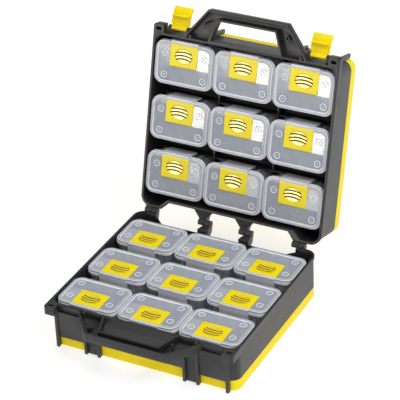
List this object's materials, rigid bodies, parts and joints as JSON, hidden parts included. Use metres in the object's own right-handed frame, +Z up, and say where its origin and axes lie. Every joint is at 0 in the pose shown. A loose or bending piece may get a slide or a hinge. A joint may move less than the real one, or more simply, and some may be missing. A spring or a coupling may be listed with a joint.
{
  "type": "double-sided storage case",
  "caption": "Hinged carrying case, shown open, with removable clear lidded boxes in each half, front latches and a handle that both halves form together.",
  "frame": {"origin": "on the ground, under the centre of the lower half's flat base", "axes": "+Z up, +Y from the handle side towards the hinge, X along the hinge; the case is open"},
  "size_m": [0.307, 0.4776, 0.3946],
  "materials": {
    "dark_plastic": "satin moulded plastic, charcoal",
    "yellow_plastic": "smooth moulded plastic, warm yellow",
    "clear_plastic": "clear moulded plastic with a slight milky tint"
  },
  "bodies": {
    "lower_case": {"lower_tray": "dark_plastic", "lower_cover": "yellow_plastic"},
    "upper_case": {"upper_tray": "dark_plastic", "upper_cover": "yellow_plastic"},
    "left_latch": {"left_latch": "yellow_plastic"},
    "right_latch": {"right_latch": "yellow_plastic"},
    "cup_lower_1_1": {"cup_lower_1_1": "clear_plastic"},
    "lid_lower_1_1": {"lid_lower_1_1": "clear_plastic"},
    "slide_lower_1_1": {"slide_lower_1_1": "yellow_plastic"},
    "cup_lower_1_2": {"cup_lower_1_2": "clear_plastic"},
    "lid_lower_1_2": {"lid_lower_1_2": "clear_plastic"},
    "slide_lower_1_2": {"slide_lower_1_2": "yellow_plastic"},
    "cup_lower_1_3": {"cup_lower_1_3": "clear_plastic"},
    "lid_lower_1_3": {"lid_lower_1_3": "clear_plastic"},
    "slide_lower_1_3": {"slide_lower_1_3": "yellow_plastic"},
    "cup_lower_2_1": {"cup_lower_2_1": "clear_plastic"},
    "lid_lower_2_1": {"lid_lower_2_1": "clear_plastic"},
    "slide_lower_2_1": {"slide_lower_2_1": "yellow_plastic"},
    "cup_lower_2_2": {"cup_lower_2_2": "clear_plastic"},
    "lid_lower_2_2": {"lid_lower_2_2": "clear_plastic"},
    "slide_lower_2_2": {"slide_lower_2_2": "yellow_plastic"},
    "cup_lower_2_3": {"cup_lower_2_3": "clear_plastic"},
    "lid_lower_2_3": {"lid_lower_2_3": "clear_plastic"},
    "slide_lower_2_3": {"slide_lower_2_3": "yellow_plastic"},
    "cup_lower_3_1": {"cup_lower_3_1": "clear_plastic"},
    "lid_lower_3_1": {"lid_lower_3_1": "clear_plastic"},
    "slide_lower_3_1": {"slide_lower_3_1": "yellow_plastic"},
    "cup_lower_3_2": {"cup_lower_3_2": "clear_plastic"},
    "lid_lower_3_2": {"lid_lower_3_2": "clear_plastic"},
    "slide_lower_3_2": {"slide_lower_3_2": "yellow_plastic"},
    "cup_lower_3_3": {"cup_lower_3_3": "clear_plastic"},
    "lid_lower_3_3": {"lid_lower_3_3": "clear_plastic"},
    "slide_lower_3_3": {"slide_lower_3_3": "yellow_plastic"},
    "cup_upper_1_1": {"cup_upper_1_1": "clear_plastic"},
    "lid_upper_1_1": {"lid_upper_1_1": "clear_plastic"},
    "slide_upper_1_1": {"slide_upper_1_1": "yellow_plastic"},
    "cup_upper_1_2": {"cup_upper_1_2": "clear_plastic"},
    "lid_upper_1_2": {"lid_upper_1_2": "clear_plastic"},
    "slide_upper_1_2": {"slide_upper_1_2": "yellow_plastic"},
    "cup_upper_1_3": {"cup_upper_1_3": "clear_plastic"},
    "lid_upper_1_3": {"lid_upper_1_3": "clear_plastic"},
    "slide_upper_1_3": {"slide_upper_1_3": "yellow_plastic"},
    "cup_upper_2_1": {"cup_upper_2_1": "clear_plastic"},
    "lid_upper_2_1": {"lid_upper_2_1": "clear_plastic"},
    "slide_upper_2_1": {"slide_upper_2_1": "yellow_plastic"},
    "cup_upper_2_2": {"cup_upper_2_2": "clear_plastic"},
    "lid_upper_2_2": {"lid_upper_2_2": "clear_plastic"},
    "slide_upper_2_2": {"slide_upper_2_2": "yellow_plastic"},
    "cup_upper_2_3": {"cup_upper_2_3": "clear_plastic"},
    "lid_upper_2_3": {"lid_upper_2_3": "clear_plastic"},
    "slide_upper_2_3": {"slide_upper_2_3": "yellow_plastic"},
    "cup_upper_3_1": {"cup_upper_3_1": "clear_plastic"},
    "lid_upper_3_1": {"lid_upper_3_1": "clear_plastic"},
    "slide_upper_3_1": {"slide_upper_3_1": "yellow_plastic"},
    "cup_upper_3_2": {"cup_upper_3_2": "clear_plastic"},
    "lid_upper_3_2": {"lid_upper_3_2": "clear_plastic"},
    "slide_upper_3_2": {"slide_upper_3_2": "yellow_plastic"},
    "cup_upper_3_3": {"cup_upper_3_3": "clear_plastic"},
    "lid_upper_3_3": {"lid_upper_3_3": "clear_plastic"},
    "slide_upper_3_3": {"slide_upper_3_3": "yellow_plastic"}
  },
  "joints": [
    {"name": "case_hinge", "type": "hinge", "parent": "lower_case", "child": "upper_case", "pos_m": [0, 0.151, 0.074], "axis": [-1, 0, 0], "range_deg": [-105, 0]},
    {"name": "left_latch_pivot", "type": "hinge", "parent": "upper_case", "child": "left_latch", "pos_m": [-0.1155, 0.23804, 0.35246], "axis": [-1, 0, 0], "range_deg": [-107, 0]},
    {"name": "right_latch_pivot", "type": "hinge", "parent": "upper_case", "child": "right_latch", "pos_m": [0.1155, 0.23804, 0.35246], "axis": [-1, 0, 0], "range_deg": [-107, 0]},
    {"name": "cup_lower_1_1_lift", "type": "slide", "parent": "lower_case", "child": "cup_lower_1_1", "axis": [0, 0, 1], "range_m": [0, 0.054]},
    {"name": "lid_lower_1_1_hinge", "type": "hinge", "parent": "cup_lower_1_1", "child": "lid_lower_1_1", "pos_m": [-0.1, -0.0524, 0.0698], "axis": [-1, 0, 0], "range_deg": [0, 100]},
    {"name": "slide_lower_1_1_travel", "type": "slide", "parent": "lid_lower_1_1", "child": "slide_lower_1_1", "axis": [0, 1, 0], "range_m": [0, 0.004]},
    {"name": "cup_lower_1_2_lift", "type": "slide", "parent": "lower_case", "child": "cup_lower_1_2", "axis": [0, 0, 1], "range_m": [0, 0.054]},
    {"name": "lid_lower_1_2_hinge", "type": "hinge", "parent": "cup_lower_1_2", "child": "lid_lower_1_2", "pos_m": [0, -0.0524, 0.0698], "axis": [-1, 0, 0], "range_deg": [0, 100]},
    {"name": "slide_lower_1_2_travel", "type": "slide", "parent": "lid_lower_1_2", "child": "slide_lower_1_2", "axis": [0, 1, 0], "range_m": [0, 0.004]},
    {"name": "cup_lower_1_3_lift", "type": "slide", "parent": "lower_case", "child": "cup_lower_1_3", "axis": [0, 0, 1], "range_m": [0, 0.054]},
    {"name": "lid_lower_1_3_hinge", "type": "hinge", "parent": "cup_lower_1_3", "child": "lid_lower_1_3", "pos_m": [0.1, -0.0524, 0.0698], "axis": [-1, 0, 0], "range_deg": [0, 100]},
    {"name": "slide_lower_1_3_travel", "type": "slide", "parent": "lid_lower_1_3", "child": "slide_lower_1_3", "axis": [0, 1, 0], "range_m": [0, 0.004]},
    {"name": "cup_lower_2_1_lift", "type": "slide", "parent": "lower_case", "child": "cup_lower_2_1", "axis": [0, 0, 1], "range_m": [0, 0.054]},
    {"name": "lid_lower_2_1_hinge", "type": "hinge", "parent": "cup_lower_2_1", "child": "lid_lower_2_1", "pos_m": [-0.1, 0.036, 0.0698], "axis": [-1, 0, 0], "range_deg": [0, 100]},
    {"name": "slide_lower_2_1_travel", "type": "slide", "parent": "lid_lower_2_1", "child": "slide_lower_2_1", "axis": [0, 1, 0], "range_m": [0, 0.004]},
    {"name": "cup_lower_2_2_lift", "type": "slide", "parent": "lower_case", "child": "cup_lower_2_2", "axis": [0, 0, 1], "range_m": [0, 0.054]},
    {"name": "lid_lower_2_2_hinge", "type": "hinge", "parent": "cup_lower_2_2", "child": "lid_lower_2_2", "pos_m": [0, 0.036, 0.0698], "axis": [-1, 0, 0], "range_deg": [0, 100]},
    {"name": "slide_lower_2_2_travel", "type": "slide", "parent": "lid_lower_2_2", "child": "slide_lower_2_2", "axis": [0, 1, 0], "range_m": [0, 0.004]},
    {"name": "cup_lower_2_3_lift", "type": "slide", "parent": "lower_case", "child": "cup_lower_2_3", "axis": [0, 0, 1], "range_m": [0, 0.054]},
    {"name": "lid_lower_2_3_hinge", "type": "hinge", "parent": "cup_lower_2_3", "child": "lid_lower_2_3", "pos_m": [0.1, 0.036, 0.0698], "axis": [-1, 0, 0], "range_deg": [0, 100]},
    {"name": "slide_lower_2_3_travel", "type": "slide", "parent": "lid_lower_2_3", "child": "slide_lower_2_3", "axis": [0, 1, 0], "range_m": [0, 0.004]},
    {"name": "cup_lower_3_1_lift", "type": "slide", "parent": "lower_case", "child": "cup_lower_3_1", "axis": [0, 0, 1], "range_m": [0, 0.026]},
    {"name": "lid_lower_3_1_hinge", "type": "hinge", "parent": "cup_lower_3_1", "child": "lid_lower_3_1", "pos_m": [-0.1, 0.1244, 0.0698], "axis": [-1, 0, 0], "range_deg": [0, 50]},
    {"name": "slide_lower_3_1_travel", "type": "slide", "parent": "lid_lower_3_1", "child": "slide_lower_3_1", "axis": [0, 1, 0], "range_m": [0, 0.004]},
    {"name": "cup_lower_3_2_lift", "type": "slide", "parent": "lower_case", "child": "cup_lower_3_2", "axis": [0, 0, 1], "range_m": [0, 0.026]},
    {"name": "lid_lower_3_2_hinge", "type": "hinge", "parent": "cup_lower_3_2", "child": "lid_lower_3_2", "pos_m": [0, 0.1244, 0.0698], "axis": [-1, 0, 0], "range_deg": [0, 50]},
    {"name": "slide_lower_3_2_travel", "type": "slide", "parent": "lid_lower_3_2", "child": "slide_lower_3_2", "axis": [0, 1, 0], "range_m": [0, 0.004]},
    {"name": "cup_lower_3_3_lift", "type": "slide", "parent": "lower_case", "child": "cup_lower_3_3", "axis": [0, 0, 1], "range_m": [0, 0.026]},
    {"name": "lid_lower_3_3_hinge", "type": "hinge", "parent": "cup_lower_3_3", "child": "lid_lower_3_3", "pos_m": [0.1, 0.1244, 0.0698], "axis": [-1, 0, 0], "range_deg": [0, 50]},
    {"name": "slide_lower_3_3_travel", "type": "slide", "parent": "lid_lower_3_3", "child": "slide_lower_3_3", "axis": [0, 1, 0], "range_m": [0, 0.004]},
    {"name": "cup_upper_1_1_lift", "type": "slide", "parent": "upper_case", "child": "cup_upper_1_1", "axis": [0, -0.9659, 0.2588], "range_m": [0, 0.054]},
    {"name": "lid_upper_1_1_hinge", "type": "hinge", "parent": "cup_upper_1_1", "child": "lid_upper_1_1", "pos_m": [-0.1, 0.2077, 0.26938], "axis": [1, 0, 0], "range_deg": [0, 100]},
    {"name": "slide_upper_1_1_travel", "type": "slide", "parent": "lid_upper_1_1", "child": "slide_upper_1_1", "axis": [0, -0.2588, -0.9659], "range_m": [0, 0.004]},
    {"name": "cup_upper_1_2_lift", "type": "slide", "parent": "upper_case", "child": "cup_upper_1_2", "axis": [0, -0.9659, 0.2588], "range_m": [0, 0.054]},
    {"name": "lid_upper_1_2_hinge", "type": "hinge", "parent": "cup_upper_1_2", "child": "lid_upper_1_2", "pos_m": [0, 0.2077, 0.26938], "axis": [1, 0, 0], "range_deg": [0, 100]},
    {"name": "slide_upper_1_2_travel", "type": "slide", "parent": "lid_upper_1_2", "child": "slide_upper_1_2", "axis": [0, -0.2588, -0.9659], "range_m": [0, 0.004]},
    {"name": "cup_upper_1_3_lift", "type": "slide", "parent": "upper_case", "child": "cup_upper_1_3", "axis": [0, -0.9659, 0.2588], "range_m": [0, 0.054]},
    {"name": "lid_upper_1_3_hinge", "type": "hinge", "parent": "cup_upper_1_3", "child": "lid_upper_1_3", "pos_m": [0.1, 0.2077, 0.26938], "axis": [1, 0, 0], "range_deg": [0, 100]},
    {"name": "slide_upper_1_3_travel", "type": "slide", "parent": "lid_upper_1_3", "child": "slide_upper_1_3", "axis": [0, -0.2588, -0.9659], "range_m": [0, 0.004]},
    {"name": "cup_upper_2_1_lift", "type": "slide", "parent": "upper_case", "child": "cup_upper_2_1", "axis": [0, -0.9659, 0.2588], "range_m": [0, 0.054]},
    {"name": "lid_upper_2_1_hinge", "type": "hinge", "parent": "cup_upper_2_1", "child": "lid_upper_2_1", "pos_m": [-0.1, 0.18482, 0.18399], "axis": [1, 0, 0], "range_deg": [0, 100]},
    {"name": "slide_upper_2_1_travel", "type": "slide", "parent": "lid_upper_2_1", "child": "slide_upper_2_1", "axis": [0, -0.2588, -0.9659], "range_m": [0, 0.004]},
    {"name": "cup_upper_2_2_lift", "type": "slide", "parent": "upper_case", "child": "cup_upper_2_2", "axis": [0, -0.9659, 0.2588], "range_m": [0, 0.054]},
    {"name": "lid_upper_2_2_hinge", "type": "hinge", "parent": "cup_upper_2_2", "child": "lid_upper_2_2", "pos_m": [0, 0.18482, 0.18399], "axis": [1, 0, 0], "range_deg": [0, 100]},
    {"name": "slide_upper_2_2_travel", "type": "slide", "parent": "lid_upper_2_2", "child": "slide_upper_2_2", "axis": [0, -0.2588, -0.9659], "range_m": [0, 0.004]},
    {"name": "cup_upper_2_3_lift", "type": "slide", "parent": "upper_case", "child": "cup_upper_2_3", "axis": [0, -0.9659, 0.2588], "range_m": [0, 0.054]},
    {"name": "lid_upper_2_3_hinge", "type": "hinge", "parent": "cup_upper_2_3", "child": "lid_upper_2_3", "pos_m": [0.1, 0.18482, 0.18399], "axis": [1, 0, 0], "range_deg": [0, 100]},
    {"name": "slide_upper_2_3_travel", "type": "slide", "parent": "lid_upper_2_3", "child": "slide_upper_2_3", "axis": [0, -0.2588, -0.9659], "range_m": [0, 0.004]},
    {"name": "cup_upper_3_1_lift", "type": "slide", "parent": "upper_case", "child": "cup_upper_3_1", "axis": [0, -0.9659, 0.2588], "range_m": [0, 0.026]},
    {"name": "lid_upper_3_1_hinge", "type": "hinge", "parent": "cup_upper_3_1", "child": "lid_upper_3_1", "pos_m": [-0.1, 0.16194, 0.09861], "axis": [1, 0, 0], "range_deg": [0, 50]},
    {"name": "slide_upper_3_1_travel", "type": "slide", "parent": "lid_upper_3_1", "child": "slide_upper_3_1", "axis": [0, -0.2588, -0.9659], "range_m": [0, 0.004]},
    {"name": "cup_upper_3_2_lift", "type": "slide", "parent": "upper_case", "child": "cup_upper_3_2", "axis": [0, -0.9659, 0.2588], "range_m": [0, 0.026]},
    {"name": "lid_upper_3_2_hinge", "type": "hinge", "parent": "cup_upper_3_2", "child": "lid_upper_3_2", "pos_m": [0, 0.16194, 0.09861], "axis": [1, 0, 0], "range_deg": [0, 50]},
    {"name": "slide_upper_3_2_travel", "type": "slide", "parent": "lid_upper_3_2", "child": "slide_upper_3_2", "axis": [0, -0.2588, -0.9659], "range_m": [0, 0.004]},
    {"name": "cup_upper_3_3_lift", "type": "slide", "parent": "upper_case", "child": "cup_upper_3_3", "axis": [0, -0.9659, 0.2588], "range_m": [0, 0.026]},
    {"name": "lid_upper_3_3_hinge", "type": "hinge", "parent": "cup_upper_3_3", "child": "lid_upper_3_3", "pos_m": [0.1, 0.16194, 0.09861], "axis": [1, 0, 0], "range_deg": [0, 50]},
    {"name": "slide_upper_3_3_travel", "type": "slide", "parent": "lid_upper_3_3", "child": "slide_upper_3_3", "axis": [0, -0.2588, -0.9659], "range_m": [0, 0.004]}
  ]
}
